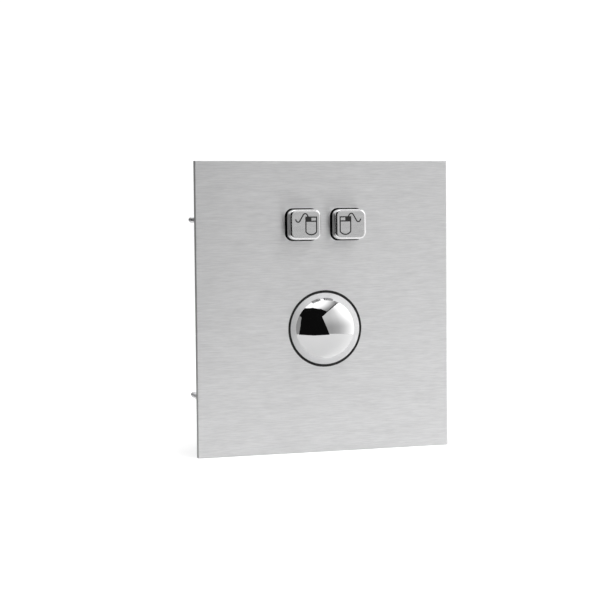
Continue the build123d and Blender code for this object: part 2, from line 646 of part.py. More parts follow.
def ribbon_parts():
    """The ribbon with a connector on each board: one points back, the other up."""
    key_rear = KEY_BOARD_Y + BOARD_T
    width = about(0, CONNECTOR_W)
    on_keys = block(width, (key_rear, key_rear + CONNECTOR_LENGTH), about(RIBBON_TOP_Z, CONNECTOR_T))
    main_z = (RIBBON_BOTTOM_Z - CONNECTOR_LENGTH, RIBBON_BOTTOM_Z)
    on_main = block(width, (BOARD_REAR_Y, BOARD_REAR_Y + CONNECTOR_T), main_z)
    return {
        "ribbon_cable": ribbon_cable(),
        "key_ribbon_connector": chamfer(on_keys.edges(), CONNECTOR_EDGE),
        "main_ribbon_connector": chamfer(on_main.edges(), CONNECTOR_EDGE),
    }


def all_parts():
    ball_unit = {name: UNIT_PLACE * shape for name, shape in ball_unit_parts().items()}
    key_unit = {name: KEYS_PLACE * shape for name, shape in key_unit_parts().items()}
    return {**panel_parts(), **ball_unit, **key_unit, **ribbon_parts()}


os.makedirs("parts", exist_ok=True)
for name, shape in all_parts().items():
    export_step(shape, f"parts/{name}.step")
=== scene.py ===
"""Looks of the panel-mount trackball, in metres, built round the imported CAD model."""
import json
import math

import bmesh
import bpy
from mathutils import Matrix, Vector

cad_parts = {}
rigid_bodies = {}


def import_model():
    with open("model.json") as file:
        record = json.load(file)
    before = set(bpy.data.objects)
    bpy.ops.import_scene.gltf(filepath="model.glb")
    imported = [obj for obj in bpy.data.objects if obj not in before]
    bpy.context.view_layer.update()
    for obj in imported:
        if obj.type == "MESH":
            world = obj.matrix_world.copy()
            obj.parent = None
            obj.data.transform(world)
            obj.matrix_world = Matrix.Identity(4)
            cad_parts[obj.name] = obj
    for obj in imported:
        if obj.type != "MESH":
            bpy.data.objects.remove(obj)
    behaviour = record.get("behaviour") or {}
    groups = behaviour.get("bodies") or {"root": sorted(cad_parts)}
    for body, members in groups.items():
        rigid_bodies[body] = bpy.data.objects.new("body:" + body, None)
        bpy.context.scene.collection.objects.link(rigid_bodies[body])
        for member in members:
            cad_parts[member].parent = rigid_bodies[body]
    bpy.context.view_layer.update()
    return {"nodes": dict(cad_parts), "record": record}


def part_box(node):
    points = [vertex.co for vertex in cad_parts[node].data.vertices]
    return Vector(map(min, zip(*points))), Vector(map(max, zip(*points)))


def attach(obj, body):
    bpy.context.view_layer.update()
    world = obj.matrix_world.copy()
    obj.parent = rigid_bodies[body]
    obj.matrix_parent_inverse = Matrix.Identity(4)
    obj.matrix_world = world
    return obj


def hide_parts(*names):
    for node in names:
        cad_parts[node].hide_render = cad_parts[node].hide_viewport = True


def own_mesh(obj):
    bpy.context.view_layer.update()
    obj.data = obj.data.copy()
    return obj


# Blender's own starting cube, lamp and camera
for leftover in list(bpy.data.objects):
    bpy.data.objects.remove(leftover)

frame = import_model()
NODES = frame["nodes"]
MM = 0.001


# Where things are, read from the frame


def middle(node):
    """The middle of a node's box."""
    low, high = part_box(node)
    return (low + high) / 2


def solids(node):
    """The lowest and highest corner of each separate solid in a node."""
    shape = bmesh.new()
    shape.from_mesh(NODES[node].data)
    bmesh.ops.remove_doubles(shape, verts=shape.verts[:], dist=0.001 * MM)
    left, boxes = set(shape.verts), []
    while left:
        reached, solid = [left.pop()], []
        while reached:
            vert = reached.pop()
            solid.append(vert.co.copy())
            beside = {edge.other_vert(vert) for edge in vert.link_edges} & left
            left -= beside
            reached.extend(beside)
        low, high = (Vector([pick(values) for values in zip(*solid)]) for pick in (min, max))
        boxes.append((low, high))
    shape.free()
    return sorted(boxes, key=lambda box: (round(box[0].z, 4), round(box[0].x, 4)))


PANEL_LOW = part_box("front_panel")[0]
BALL_CENTRE = middle("ball")
FLOOR_Z = PANEL_LOW.z


# Node helpers


class Nodes:
    """A node tree, with short ways to add nodes and to give their sockets values."""

    def __init__(self, tree):
        self.tree = tree

    def set(self, node, **values):
        """Gives sockets a number, a colour or another node's output.

        A name like _1 is a socket's place.
        """
        for name, value in values.items():
            socket = node.inputs[int(name[1:])] if name[0] == "_" else node.inputs[name]
            if isinstance(value, bpy.types.NodeSocket):
                self.tree.links.new(value, socket)
            else:
                socket.default_value = value

    def node(self, kind, values=None, **options):
        node = self.tree.nodes.new(kind)
        for name, value in options.items():
            setattr(node, name, value)
        self.set(node, **(values or {}))
        return node

    def remap(self, value, low, high, start=0.0, end=1.0, ease="LINEAR"):
        """Moves the span low..high of a value to start..end."""
        values = {"Value": value, "From Min": low, "From Max": high, "To Min": start, "To Max": end}
        return self.node("ShaderNodeMapRange", values, interpolation_type=ease).outputs["Result"]

    def maths(self, operation, first, second):
        node = self.node("ShaderNodeMath", {"_0": first, "_1": second}, operation=operation)
        return node.outputs["Value"]

    def between(self, share, first, second):
        """A number between two, by a share."""
        return self.node("ShaderNodeMix", {"_0": share, "_2": first, "_3": second}).outputs[0]

    def split(self, vector):
        return self.node("ShaderNodeSeparateXYZ", {"Vector": vector}).outputs

    def dot(self, first, second):
        values = {"_0": first, "_1": second}
        return self.node("ShaderNodeVectorMath", values, operation="DOT_PRODUCT").outputs["Value"]

    def either(self, share, first, second, output):
        """Sends a mix of two shaders to the tree's output node, by a share."""
        mixed = self.node("ShaderNodeMixShader", {"Fac": share, "_1": first, "_2": second})
        self.set(self.tree.nodes[output], Surface=mixed.outputs["Shader"])

    def clear(self):
        return self.node("ShaderNodeBsdfTransparent").outputs["BSDF"]

    def path(self, question):
        """What kind of ray asks, such as Ray Depth."""
        return self.node("ShaderNodeLightPath").outputs[question]


class Material(Nodes):
    """A Principled material, with short ways to add procedural detail."""

    def __init__(self, name, colour, roughness, **settings):
        self.data = bpy.data.materials.new(name)
        self.data.use_nodes = True
        super().__init__(self.data.node_tree)
        self.shader = self.tree.nodes["Principled BSDF"]
        self.set(self.shader, **{"Base Color": (*colour, 1), "Roughness": roughness}, **settings)
        self.place = self.node("ShaderNodeTexCoord").outputs["Object"]

    def noise(self, scale, detail=3.0, roughness=0.55, stretch=(1, 1, 1)):
        """Noise in the object's own place, stretched along the axes with small numbers."""
        place = self.node("ShaderNodeMapping", {"Vector": self.place, "Scale": stretch})
        values = {"Scale": scale, "Detail": detail, "Roughness": roughness,
                  "Vector": place.outputs["Vector"]}
        return self.node("ShaderNodeTexNoise", values).outputs["Fac"]

    def blend(self, share, first, second):
        """A colour between two, by a share."""
        node = self.node("ShaderNodeMix", data_type="RGBA")
        first, second = ((*c, 1) if isinstance(c, tuple) else c for c in (first, second))
        self.set(node, _0=share, _6=first, _7=second)
        return node.outputs[2]

    def bump(self, height, distance, strength=1.0):
        values = {"Height": height, "Distance": distance, "Strength": strength}
        return self.node("ShaderNodeBump", values).outputs["Normal"]

    def true_normal(self):
        return self.node("ShaderNodeNewGeometry").outputs["Normal"]

    def facing(self, axis):
        """1 where the surface faces up or down an axis, 0 where it runs along it."""
        return self.maths("ABSOLUTE", self.split(self.true_normal())[axis], 0.0)

    def edges(self, radius):
        """1 along edges and corners, 0 on open faces, from how far a rounded normal turns."""
        rounded = self.node("ShaderNodeBevel", {"Radius": radius}, samples=6).outputs["Normal"]
        return self.remap(self.dot(rounded, self.true_normal()), 0.995, 0.80)

    def wear(self, strength):
        """Edge mask broken up by noise, for worn and rubbed edges."""
        patches = self.remap(self.noise(900, detail=5), 0.35, 0.65)
        worn = self.maths("MULTIPLY", self.edges(0.35 * MM), patches)
        return self.maths("MULTIPLY", worn, strength)

    def finish(self, colour=None, roughness=None, normal=None):
        for name, value in (("Base Color", colour), ("Roughness", roughness), ("Normal", normal)):
            if value is not None:
                self.set(self.shader, **{name: value})
        return self.data


# Materials


def grey(value):
    """A colour a touch cooler than neutral."""
    return (value, value, value * 1.005)


def brushed_steel(name, dark, light, roughness, grain, along=(6, 1, 1), anisotropy=0.0):
    """Metal ground in one direction: fine scratches, softer streaks and a faint mottling.

    along stretches the grain: scratches follow the axes with the small numbers. Anisotropy spreads
    the gloss across scratches that run from side to side. Cut edges, which don't face front or
    back, get a painted shade: their colour is darkened.
    """
    steel = Material(name, light, roughness, Metallic=1.0, Anisotropic=anisotropy)
    scratches = steel.noise(grain, detail=4, roughness=0.7, stretch=along)
    streaks = steel.noise(grain / 4, detail=3, stretch=along)
    mottling = steel.noise(140, detail=4)
    tone = steel.maths("MULTIPLY", scratches, 0.7)
    tone = steel.maths("ADD", tone, steel.maths("MULTIPLY", streaks, 0.2))
    tone = steel.maths("ADD", tone, steel.maths("MULTIPLY", mottling, 0.1))
    tone = steel.remap(tone, 0.34, 0.66)
    # Painted shade: faces that don't face front or back are darkened in colour
    flat = steel.remap(steel.facing("Y"), 0.2, 0.95)
    painted_edge_shade = tuple(0.42 * c for c in dark)
    if anisotropy:
        across = steel.node("ShaderNodeCombineXYZ", {"X": 0.0, "Y": 0.0, "Z": 1.0})
        steel.set(steel.shader, Tangent=across.outputs["Vector"])
    return steel.finish(
        colour=steel.blend(flat, painted_edge_shade, steel.blend(tone, dark, light)),
        roughness=steel.remap(tone, 0, 1, roughness + 0.05, roughness - 0.05),
        normal=steel.bump(scratches, 0.006 * MM),
    )


def capped_steel(name, dark, light, polished, painted_side_shade):
    """A key's steel: brushed flat front, polished round its edge, and a painted near-black shade on
    its sides.

    The upright sides and all that runs in the panel's opening get the darkest painted shade. It
    stands in for the gap's shadow and the dark reflections the side walls show. The top and bottom
    sides get a paler painted shade.
    """
    steel = Material(name, light, 0.24, Metallic=1.0)
    scratches = steel.noise(2600, detail=4, roughness=0.7, stretch=(0.06, 1, 1))
    flat = steel.remap(steel.facing("Y"), 0.93, 0.985)
    # Painted shade: sides, top, bottom and the part in the opening are darkened in colour where
    # shadow and dark reflections fall
    upright = steel.remap(steel.facing("X"), 0.80, 0.97)
    level = steel.remap(steel.facing("Z"), 0.80, 0.97, 0.0, 0.40)
    inside = steel.remap(steel.split(steel.place)["Y"], PANEL_LOW.y - 0.2 * MM, PANEL_LOW.y)
    side = steel.maths("MAXIMUM", steel.maths("MAXIMUM", upright, level), inside)
    face = steel.blend(steel.remap(scratches, 0.35, 0.65), dark, light)
    return steel.finish(
        colour=steel.blend(side, steel.blend(flat, polished, face), painted_side_shade),
        roughness=steel.remap(flat, 0, 1, 0.13, 0.27),
        normal=steel.bump(scratches, 0.004 * MM),
    )


def polished_steel(name, colour, roughness):
    """Mirror finish with hair-fine wiping marks that show only in the gloss."""
    steel = Material(name, colour, roughness, Metallic=1.0)
    haze = steel.remap(steel.noise(260, detail=5), 0.45, 0.75, 0, 0.03)
    marks = steel.remap(steel.noise(900, detail=6, stretch=(1, 0.25, 0.4)), 0.58, 0.72, 0, 0.03)
    dulling = steel.maths("ADD", haze, marks)
    return steel.finish(roughness=steel.maths("ADD", dulling, roughness))


def plated(name, dark, light, roughness=0.32):
    """Bright zinc or nickel plating: softly clouded, a little dull, brighter on rubbed edges."""
    metal = Material(name, light, roughness, Metallic=1.0)
    clouds = metal.remap(metal.noise(420, detail=5), 0.35, 0.65)
    return metal.finish(
        colour=metal.blend(metal.wear(0.8), metal.blend(clouds, dark, light), (0.86, 0.86, 0.87)),
        roughness=metal.remap(clouds, 0, 1, roughness + 0.1, roughness - 0.06),
        normal=metal.bump(metal.noise(2600, detail=3), 0.004 * MM, 0.5),
    )


def moulded(name, dark, light, roughness=0.55, worn=None):
    """Spark-textured moulded plastic, with edges a shade lighter from handling."""
    plastic = Material(name, light, roughness)
    clouds = plastic.remap(plastic.noise(160, detail=4), 0.35, 0.65)
    grain = plastic.noise(3600, detail=4, roughness=0.7)
    edge = worn or tuple(min(1.0, c * 1.7 + 0.01) for c in light)
    return plastic.finish(
        colour=plastic.blend(plastic.wear(0.6), plastic.blend(clouds, dark, light), edge),
        roughness=plastic.remap(grain, 0.3, 0.7, roughness + 0.12, roughness - 0.08),
        normal=plastic.bump(grain, 0.012 * MM),
    )


def rubber(name, dark, light, roughness=0.62, grain=1500):
    """Matt elastomer with a fine pebbled skin and a trace of dust."""
    skin = Material(name, light, roughness)
    pebbles = skin.noise(grain, detail=5, roughness=0.65)
    dust = skin.remap(skin.noise(240, detail=6), 0.52, 0.75)
    dusty = tuple(c * 0.8 + 0.05 for c in light)
    return skin.finish(
        colour=skin.blend(dust, skin.blend(pebbles, dark, light), dusty),
        roughness=skin.remap(pebbles, 0.3, 0.7, roughness + 0.15, roughness - 0.1),
        normal=skin.bump(pebbles, 0.02 * MM),
    )


def make_materials():
    """Every material by its name."""
    sideways = (0.08, 1, 1)
    recipes = {
        "panel_steel": (brushed_steel, grey(0.745), grey(0.855), 0.50, 1900, sideways, 0.85),
        # keycap_steel's last colour is the painted shade on the keys' sides and in the panel opening
        "keycap_steel": (capped_steel, grey(0.76), grey(0.84), grey(0.74), grey(0.02)),
        "ball_steel": (polished_steel, grey(0.60), 0.012),
        "shaft_steel": (polished_steel, grey(0.76), 0.10),
        "bearing_steel": (polished_steel, grey(0.72), 0.12),
        "roller_steel": (brushed_steel, grey(0.42), grey(0.58), 0.30, 2400),
        "disc_metal": (brushed_steel, grey(0.36), grey(0.48), 0.36, 2400),
        "plate_zinc": (plated, (0.56, 0.57, 0.59), (0.70, 0.71, 0.74)),
        "fastener_zinc": (plated, (0.60, 0.61, 0.64), (0.74, 0.75, 0.79), 0.28),
        "stud_steel": (plated, (0.52, 0.52, 0.53), (0.66, 0.66, 0.67), 0.30),
        "can_nickel": (plated, (0.58, 0.57, 0.54), (0.72, 0.71, 0.68), 0.24),
        "capacitor_can": (plated, (0.66, 0.66, 0.68), (0.80, 0.80, 0.82), 0.28),
        "pin_gold": (plated, (0.72, 0.52, 0.20), (0.86, 0.66, 0.30), 0.24),
        "wiper_rubber": (rubber, grey(0.004), grey(0.008), 0.45, 2600),
        "gasket_foam": (rubber, grey(0.028), grey(0.060), 0.9, 1100),
        "seal_rubber": (rubber, grey(0.016), grey(0.030)),
        "silicone": (rubber, grey(0.40), grey(0.52), 0.5),
        "carbon_pill": (rubber, grey(0.010), grey(0.020), 0.5),
        "housing_plastic": (moulded, grey(0.018), grey(0.030)),
        "chassis_plastic": (moulded, grey(0.055), grey(0.080)),
        "sensor_plastic": (moulded, grey(0.010), grey(0.018), 0.35),
        "chip_epoxy": (moulded, grey(0.014), grey(0.022), 0.5),
        "resistor_ceramic": (moulded, grey(0.018), grey(0.03), 0.3),
        "connector_nylon": (moulded, (0.66, 0.62, 0.50), (0.76, 0.73, 0.62), 0.42),
        "acetal": (moulded, grey(0.72), grey(0.82), 0.4),
        "ribbon_pvc": (moulded, grey(0.30), grey(0.38), 0.5),
        "legend_paint": (moulded, grey(0.006), grey(0.010), 0.55, grey(0.02)),
        "board_copper": (moulded, (0.030, 0.230, 0.100), (0.040, 0.290, 0.130), 0.30),
        "silk_ink": (moulded, grey(0.62), grey(0.78), 0.6),
        "board_laminate": (moulded, (0.006, 0.075, 0.030), (0.010, 0.110, 0.045), 0.28),
    }
    return {name: make(name, *looks) for name, (make, *looks) in recipes.items()}


def dress_cad_nodes(materials):
    """Gives every CAD node the procedural material of its slot."""
    for row in frame["record"]["subparts"]:
        for slot in NODES[row["node"]].material_slots:
            slot.material = materials[row["material_slot"]]


# Pieces that Blender adds, or shows in place of a plainer CAD node

BOARD_FACE_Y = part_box("main_board")[1].y
CHIP_BODY_H, LEADS_PER_SIDE, LEAD_W, LEAD_T = 7.4 * MM, 10, 0.42 * MM, 0.2 * MM
PITCH = 1.27 * MM
TRACE_W, TRACE_T, SILK_W, SILK_T = 0.42 * MM, 0.035 * MM, 0.18 * MM, 0.02 * MM
JOINT_X, JOINT_Z = 1.6 * MM, 3.8 * MM
RIBBON_WIRES, WIRE_STEPS = 10, 8
# Shares of the ribbon's thickness: half of it between two wires, and what a wire adds to that
RIBBON_WEB, RIBBON_BACK = 0.28, 0.22


def row(count, pitch):
    """Evenly spaced places about zero."""
    return [(n - (count - 1) / 2) * pitch for n in range(count)]


def add_object(name, data):
    obj = bpy.data.objects.new(name, data)
    bpy.context.scene.collection.objects.link(obj)
    return obj


def add_piece(name, shape, body, material, replaces=(), sharp=35):
    """Turns a bmesh drawn in the row frame into a piece of the object that rides on a body."""
    mesh = bpy.data.meshes.new(name)
    bmesh.ops.recalc_face_normals(shape, faces=shape.faces[:])
    shape.to_mesh(mesh)
    shape.free()
    mesh.shade_smooth()
    mesh.set_sharp_from_angle(angle=math.radians(sharp))
    piece = add_object(name, mesh)
    mesh.materials.append(MATERIALS[material])
    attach(piece, body)
    if replaces:
        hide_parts(*replaces)
    return piece


def skin(shape, rings):
    """Joins rings of points into a closed tube with flat ends."""
    loops = [[shape.verts.new(point) for point in ring] for ring in rings]
    for near, far in zip(loops, loops[1:]):
        for k in range(len(near)):
            shape.faces.new((near[k - 1], near[k], far[k], far[k - 1]))
    shape.faces.new(loops[0])
    shape.faces.new(loops[-1])


def lathe(shape, profile, x, z, around=24):
    """Turns (radius, y) points about an axis along Y."""
    turns = [2 * math.pi * k / around for k in range(around)]
    rings = [[(x + r * math.cos(a), y, z + r * math.sin(a)) for a in turns] for r, y in profile]
    skin(shape, rings)


def block(shape, x, y, z):
    """A box from its three (low, high) spans."""
    spans = (x, y, z)
    centre = Vector([(low + high) / 2 for low, high in spans])
    scale = Matrix.Diagonal([high - low for low, high in spans] + [1])
    bmesh.ops.create_cube(shape, size=1, matrix=Matrix.Translation(centre) @ scale)


def about(middle, size):
    """The span of a size about its middle."""
    return (middle - size / 2, middle + size / 2)


def bar(shape, start, end, width, thickness):
    """A flat bar on the main board's rear face between two (x, z) places, and a little past them."""
    run = Vector((end[0] - start[0], 0, end[1] - start[1]))
    place = Vector(((start[0] + end[0]) / 2, BOARD_FACE_Y + thickness / 2, (start[1] + end[1]) / 2))
    turn = Matrix.Rotation(math.atan2(run.x, run.z), 4, "Y")
    scale = Matrix.Diagonal((width, thickness, run.length + width * 0.8, 1))
    bmesh.ops.create_cube(shape, size=1, matrix=Matrix.Translation(place) @ turn @ scale)


def threaded_rod(shape, low, high, pitch, collar=0.0):
    """A stud along Y with a helical V thread, a chamfered tip and, if asked for, a weld collar."""
    x, z, radius = (low.x + high.x) / 2, (low.z + high.z) / 2, (high.x - low.x) / 2
    around, steps, tip, collar_h, thread_depth = 24, 4, 0.4 * MM, 0.7 * MM, 0.6 * pitch
    rings = []
    for step in range(round((high.y - low.y) / pitch * steps) + 1):
        y = min(low.y + step * pitch / steps, high.y)
        outside = radius - max(0, tip - (high.y - y))
        flare = collar * max(0, 1 - (y - low.y) / collar_h) ** 2
        ring = []
        for k in range(around):
            turn = 2 * math.pi * k / around
            groove = thread_depth * abs(2 * ((y / pitch - k / around) % 1) - 1)
            r = min(outside, radius - groove) + flare
            ring.append((x + r * math.cos(turn), y, z + r * math.sin(turn)))
        rings.append(ring)
    skin(shape, rings)


def make_studs():
    """Threaded studs in place of the plain rods. Only the panel's own have room for a collar."""
    for node, pitch, collar in (
        ("panel_studs", 0.5, 1.0),
        ("unit_studs", 0.5, 0),
        ("key_studs", 0.45, 0),
    ):
        shape = bmesh.new()
        for low, high in solids(node):
            threaded_rod(shape, low, high, pitch * MM, collar * MM)
        add_piece(f"threaded_{node}", shape, "panel", "stud_steel", replaces=[node], sharp=50)


def ribbon_path(low, high, thickness):
    """(y, z, turn in degrees) along the ribbon: back from the key board, round a bend and down."""
    rear, top = high.y - thickness / 2, high.z - thickness / 2
    bend, steps = 0.45 * (rear - low.y), 16
    stations = [(low.y, top, 90)]
    for step in range(steps + 1):
        turn = 90 - 90 * step / steps
        y = rear - bend + bend * math.cos(math.radians(turn))
        stations.append((y, top - bend + bend * math.sin(math.radians(turn)), turn))
    return stations + [(rear, low.z, 0)]


def ribbon_section(start_x, width, thickness):
    """(x, rise) round the ribbon's section, with a round back on each wire on both sides."""
    section = []
    for step in range(RIBBON_WIRES * WIRE_STEPS + 1):
        across = step / WIRE_STEPS
        roundness = math.sqrt(max(0.0, 1 - (2 * (across % 1) - 1) ** 2))
        x = start_x + across * width / RIBBON_WIRES
        section.append((x, thickness * (RIBBON_WEB + RIBBON_BACK * roundness)))
    return section + [(x, -rise) for x, rise in reversed(section)]


def make_ribbon():
    """Ten-wire ribbon in place of the flat band."""
    low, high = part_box("ribbon_cable")
    thickness = 1.0 * MM
    section = ribbon_section(low.x, high.x - low.x, thickness)
    rings = []
    for y, z, turn in ribbon_path(low, high, thickness):
        out_y, out_z = math.cos(math.radians(turn)), math.sin(math.radians(turn))
        rings.append([(x, y + rise * out_y, z + rise * out_z) for x, rise in section])
    shape = bmesh.new()
    skin(shape, rings)
    add_piece("ribbon_wires", shape, "panel", "ribbon_pvc", replaces=["ribbon_cable"], sharp=60)


def make_domes():
    """Silicone domes under the keys: a thick roof, a thin sloping skirt, a foot."""
    # Shares of the foot's radius and of the height, down from the roof
    outside = [(0.02, 0), (0.40, 0), (0.435, 0.01), (0.50, 0.10), (0.53, 0.20), (0.80, 0.74),
               (0.84, 0.79)]
    foot_face = [(0.99, 0.80), (1.0, 0.82), (1.0, 1.0), (0.79, 1.0)]
    inside = [(0.76, 0.90), (0.72, 0.80), (0.46, 0.36), (0.02, 0.355)]
    for side in ("left", "right"):
        low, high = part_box(f"{side}_key_dome")
        x, z, foot = (low.x + high.x) / 2, (low.z + high.z) / 2, (high.x - low.x) / 2
        height = high.y - low.y
        shape = bmesh.new()
        profile = [(r * foot, low.y + y * height) for r, y in outside + foot_face + inside]
        lathe(shape, profile, x, z, around=48)
        dome = add_piece(
            f"{side}_dome_skin", shape, "panel", "silicone", replaces=[f"{side}_key_dome"]
        )
        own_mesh(dome)


def make_chip():
    """Moulded body with a pin-one dimple, on gull-wing leads that come down to their pads."""
    low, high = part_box("controller_chip")
    centre, side = middle("controller_chip"), CHIP_BODY_H / 2
    body = bmesh.new()
    block(body, (low.x, high.x), (BOARD_FACE_Y + 0.15 * MM, high.y), about(centre.z, CHIP_BODY_H))
    bmesh.ops.bevel(body, geom=body.edges[:], offset=0.25 * MM, segments=1, affect="EDGES")
    add_piece("chip_body", body, "panel", "chip_epoxy", replaces=["controller_chip"])
    dimple, inset = bmesh.new(), 1.2 * MM
    profile = [(0.45 * MM, high.y - 0.1 * MM), (0.45 * MM, high.y + 0.01 * MM)]
    lathe(dimple, profile, low.x + inset, centre.z - side + inset)
    add_piece("chip_pin_one_mark", dimple, "panel", "silk_ink")
    make_chip_leads(centre, side, reach=(high.z - low.z) / 2, mid_y=(BOARD_FACE_Y + high.y) / 2)


def make_chip_leads(centre, side, reach, mid_y):
    """Each lead leaves the body's side level, steps down and ends flat on its pad."""
    shape, foot_y = bmesh.new(), BOARD_FACE_Y + LEAD_T / 2 + 0.05 * MM
    bends = [(side - 0.3 * MM, mid_y), (side + 0.35 * MM, mid_y),
             (side + 0.5 * MM, mid_y - 0.12 * MM), (reach - 0.75 * MM, foot_y + 0.12 * MM),
             (reach - 0.6 * MM, foot_y), (reach, foot_y)]
    for x in row(LEADS_PER_SIDE, PITCH):
        left, right = about(centre.x + x, LEAD_W)
        for way in (-1, 1):
            rings = []
            for out, y in bends:
                z, (front, rear) = centre.z + way * out, about(y, LEAD_T)
                rings.append([(left, front, z), (right, front, z),
                              (right, rear, z), (left, rear, z)])
            skin(shape, rings)
    add_piece("chip_leads", shape, "panel", "can_nickel")


def make_resistor_ends():
    """Tinned ends and a fillet of solder at both ends of every resistor."""
    shape = bmesh.new()
    cap, over, fillet = 0.42 * MM, 0.02 * MM, 0.35 * MM
    for low, high in solids("resistors"):
        x, y = (low.x - over, high.x + over), (BOARD_FACE_Y, high.y + over)
        for end, way in ((low.z, 1), (high.z, -1)):
            block(shape, x, y, sorted((end - way * over, end + way * cap)))
            toe = [Vector((side, y[0] + rise * (y[1] - y[0]) * 0.8, end - way * out * fillet))
                   for side in x for rise, out in ((0, 0), (1, 0), (0, 1))]
            bmesh.ops.convex_hull(shape, input=[shape.verts.new(point) for point in toe])
    add_piece("resistor_ends", shape, "panel", "can_nickel")


def make_capacitor_trim():
    """Square moulded base under each can, and the dark half on top that marks its negative side."""
    bases, marks = bmesh.new(), bmesh.new()
    for low, high in solids("capacitors"):
        x, z, radius = (low.x + high.x) / 2, (low.z + high.z) / 2, (high.x - low.x) / 2
        block(bases, about(x, 2 * radius + 0.4 * MM), (BOARD_FACE_Y, BOARD_FACE_Y + 0.9 * MM),
              about(z, 2 * radius + 0.4 * MM))
        arc = [math.radians(a) for a in range(110, 251, 10)]
        rim = [(x + 0.82 * radius * math.cos(a), z + 0.82 * radius * math.sin(a)) for a in arc]
        sunk, proud = high.y - 0.1 * MM, high.y + 0.02 * MM
        skin(marks, [[(px, y, pz) for px, pz in rim] for y in (sunk, proud)])
    bmesh.ops.bevel(bases, geom=bases.edges[:], offset=0.2 * MM, segments=1, affect="EDGES")
    add_piece("capacitor_bases", bases, "panel", "sensor_plastic")
    add_piece("capacitor_marks", marks, "panel", "legend_paint")


def resistor_routes():
    """Centre lines of traces, as (x, z) places: chip to resistors, and resistors to connectors."""
    chip_low, chip_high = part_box("controller_chip")
    leads = [middle("controller_chip").x + x for x in row(LEADS_PER_SIDE, PITCH)]
    below = [box for box in solids("resistors") if box[1].z < chip_low.z]
    above = [box for box in solids("resistors") if box[0].z > chip_high.z]
    pins = sorted((low.x + high.x) / 2 for low, high in solids("header_pins"))
    ribbon_bottom, header_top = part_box("main_ribbon_connector")[0].z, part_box("cable_header")[1].z
    lines = []
    for boxes, way, chip_z, near, far, target_z, targets in (
        (above, 1, chip_high.z, 0, 1, ribbon_bottom, row(len(above), 2 * PITCH)),
        (below, -1, chip_low.z, 1, 0, header_top, pins),
    ):
        for k, box in enumerate(boxes):
            x, near_z, far_z = (box[0].x + box[1].x) / 2, box[near].z, box[far].z
            lead = leads[round((k + 0.5) * LEADS_PER_SIDE / len(boxes) - 0.5)]
            target = targets[min(k, len(targets) - 1)]
            lines.append([(lead, chip_z), (lead, chip_z + way * 0.5 * MM),
                          (x, near_z - way * 0.8 * MM), (x, near_z)])
            lines.append([(x, far_z), (x, far_z + way * 1.1 * MM),
                          (target, target_z - way * MM), (target, target_z + way * 0.3 * MM)])
    return lines


def sensor_routes():
    """Two traces from each sensor's near solder joints towards the controller, up to a via."""
    x_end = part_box("controller_chip")[1].x + 3.2 * MM
    y_end = middle("y_sensor").x + 4.0 * MM
    lines = []
    for node, end, way in (("x_sensor", x_end, -1), ("y_sensor", y_end, 1)):
        place = middle(node)
        start = place.z + way * JOINT_Z
        turn, slant = start + way * 1.8 * MM, abs(place.x - end)
        for x in (-JOINT_X, JOINT_X):
            lines.append([(place.x + x, start), (place.x + x, turn), (end + x, turn + way * slant),
                          (end + x, turn + way * (slant + 1.2 * MM))])
    return lines


def make_traces():
    """The board's traces, and a via at the end of each one that comes from a sensor."""
    traces, vias = bmesh.new(), bmesh.new()
    for line in resistor_routes() + sensor_routes():
        for start, end in zip(line, line[1:]):
            bar(traces, start, end, TRACE_W, TRACE_T)
    for line in sensor_routes():
        lathe(vias, [(0.45 * MM, BOARD_FACE_Y), (0.42 * MM, BOARD_FACE_Y + 0.06 * MM)], *line[-1])
    add_piece("board_traces", traces, "panel", "board_copper")
    add_piece("board_vias", vias, "panel", "can_nickel")


def make_solder_joints():
    """The sensors' pins, soldered from behind: a cone of solder on each of their four pads."""
    shape = bmesh.new()
    cone = [(0.95, 0.0), (0.90, 0.08), (0.55, 0.35), (0.38, 0.75), (0.32, 1.0), (0.2, 1.06)]
    profile = [(r * MM, BOARD_FACE_Y + y * MM) for r, y in cone]
    for node in ("x_sensor", "y_sensor"):
        centre = middle(node)
        for x in (-JOINT_X, JOINT_X):
            for z in (-JOINT_Z, JOINT_Z):
                lathe(shape, profile, centre.x + x, centre.z + z)
    add_piece("sensor_solder_joints", shape, "panel", "can_nickel")


def outline(shape, low, high, margin):
    """A printed rectangle round a part."""
    left, right, bottom, top = low.x - margin, high.x + margin, low.z - margin, high.z + margin
    around = [(left, bottom), (right, bottom), (right, top), (left, top), (left, bottom)]
    for start, end in zip(around, around[1:]):
        bar(shape, start, end, SILK_W, SILK_T)


def make_board_print():
    """The white outlines printed round the board's parts."""
    ink = bmesh.new()
    for node, margin in (("crystal", 0.6), ("cable_header", 0.7), ("main_ribbon_connector", 0.6)):
        outline(ink, *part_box(node), margin * MM)
    for low, high in solids("capacitors") + solids("resistors"):
        outline(ink, low, high, 0.42 * MM)
    add_piece("board_print", ink, "panel", "silk_ink")


def make_connector_windows():
    """The slots in the ribbon's two connectors, with a contact in each."""
    main_y, main_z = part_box("main_ribbon_connector")[1].y, middle("main_ribbon_connector").z
    key_z, key_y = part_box("key_ribbon_connector")[1].z, middle("key_ribbon_connector").y
    for name, material, width, length, thickness in (
        ("connector_slots", "sensor_plastic", 0.75 * MM, 2.6 * MM, 0.02 * MM),
        ("connector_contacts", "pin_gold", 0.35 * MM, 2.0 * MM, 0.05 * MM),
    ):
        shape = bmesh.new()
        for x in row(RIBBON_WIRES, PITCH):
            block(shape, about(x, width), about(main_y, thickness), about(main_z, length))
            block(shape, about(x, width), about(key_y, length), about(key_z, thickness))
        add_piece(name, shape, "panel", material)


# Studio: floor, light, what the polished parts reflect, and the camera

